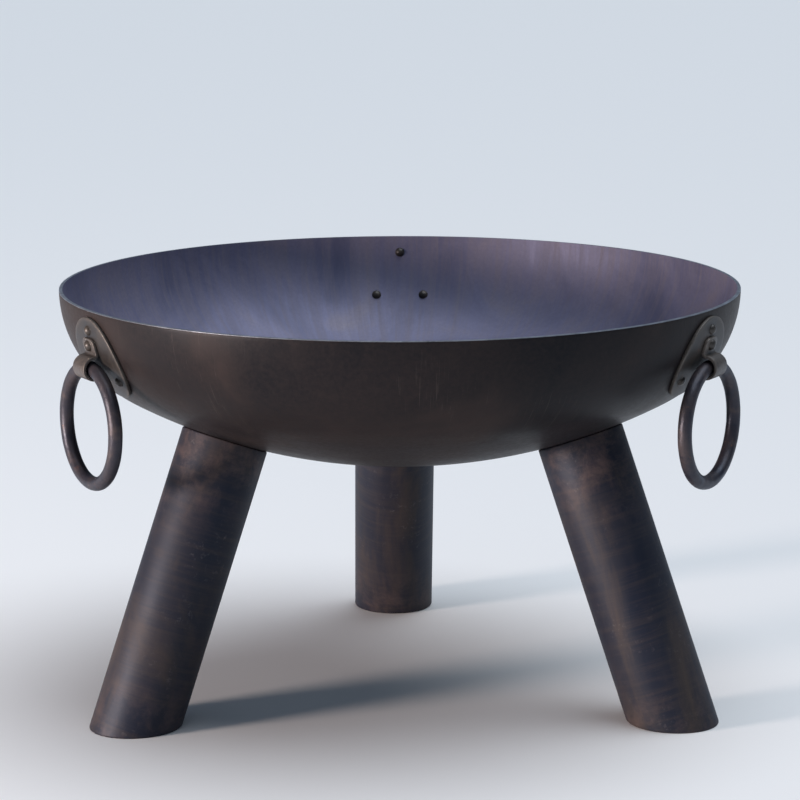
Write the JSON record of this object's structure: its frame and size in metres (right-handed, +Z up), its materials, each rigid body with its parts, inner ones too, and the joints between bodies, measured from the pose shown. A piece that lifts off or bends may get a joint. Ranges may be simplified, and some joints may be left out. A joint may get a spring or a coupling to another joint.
{
  "type": "fire pit",
  "caption": "Round dished steel fire bowl on tube legs, with hanging ring handles and a round lift-out bar grate, for an open outdoor fire.",
  "frame": {"origin": "on the floor, on the bowl's axis, midway between the three feet", "axes": "+Z up along the bowl's axis, +Y towards the back leg, +X to the right seen from the front"},
  "size_m": [0.6, 0.6112, 0.364],
  "materials": {
    "bowl_steel": "spun mild steel, oiled and dark, with faint upright scratches",
    "leg_steel": "dark mill-scale tube with worn bronze patches",
    "handle_steel": "dark oiled plate, edges worn lighter",
    "ring_steel": "dark forged round bar, rubbed brighter on its outer side",
    "rivet_steel": "dark domed rivets, worn on the crown",
    "bolt_steel": "dark plain steel fasteners",
    "inner_steel": "bare welded steel plate",
    "grate_steel": "heat-darkened round bar with light rust"
  },
  "bodies": {
    "fire_bowl": {"bowl": "bowl_steel", "front_left_leg_tube": "leg_steel", "front_left_leg_top_plate": "inner_steel", "front_left_leg_weld_nut": "inner_steel", "front_left_leg_bolt": "bolt_steel", "front_left_leg_washer": "bolt_steel", "front_left_foot_plate": "inner_steel", "front_left_handle_plate": "handle_steel", "front_left_plate_rivets": "rivet_steel", "front_left_strap": "handle_steel", "front_left_strap_rivet": "rivet_steel", "front_right_leg_tube": "leg_steel", "front_right_leg_top_plate": "inner_steel", "front_right_leg_weld_nut": "inner_steel", "front_right_leg_bolt": "bolt_steel", "front_right_leg_washer": "bolt_steel", "front_right_foot_plate": "inner_steel", "front_right_handle_plate": "handle_steel", "front_right_plate_rivets": "rivet_steel", "front_right_strap": "handle_steel", "front_right_strap_rivet": "rivet_steel", "back_leg_tube": "leg_steel", "back_leg_top_plate": "inner_steel", "back_leg_weld_nut": "inner_steel", "back_leg_bolt": "bolt_steel", "back_leg_washer": "bolt_steel", "back_foot_plate": "inner_steel", "back_handle_plate": "handle_steel", "back_plate_rivets": "rivet_steel", "back_strap": "handle_steel", "back_strap_rivet": "rivet_steel"},
    "grate": {"grate_ring": "grate_steel", "grate_bars": "grate_steel", "grate_cross_bars": "grate_steel"},
    "front_left_ring": {"front_left_ring": "ring_steel"},
    "front_right_ring": {"front_right_ring": "ring_steel"},
    "back_ring": {"back_ring": "ring_steel"}
  },
  "joints": [
    {"name": "front_left_ring_swing", "type": "hinge", "parent": "fire_bowl", "child": "front_left_ring", "pos_m": [-0.2605, -0.1504, 0.31609], "axis": [-0.5, 0.866, 0], "range_deg": [-40, 160]},
    {"name": "front_right_ring_swing", "type": "hinge", "parent": "fire_bowl", "child": "front_right_ring", "pos_m": [0.2605, -0.1504, 0.31609], "axis": [-0.5, -0.866, 0], "range_deg": [-40, 160]},
    {"name": "back_ring_swing", "type": "hinge", "parent": "fire_bowl", "child": "back_ring", "pos_m": [0, 0.30079, 0.31609], "axis": [1, 0, 0], "range_deg": [-40, 160]},
    {"name": "grate_lift", "type": "slide", "parent": "fire_bowl", "child": "grate", "axis": [0, 0, 1], "range_m": [0, 0.15]}
  ]
}
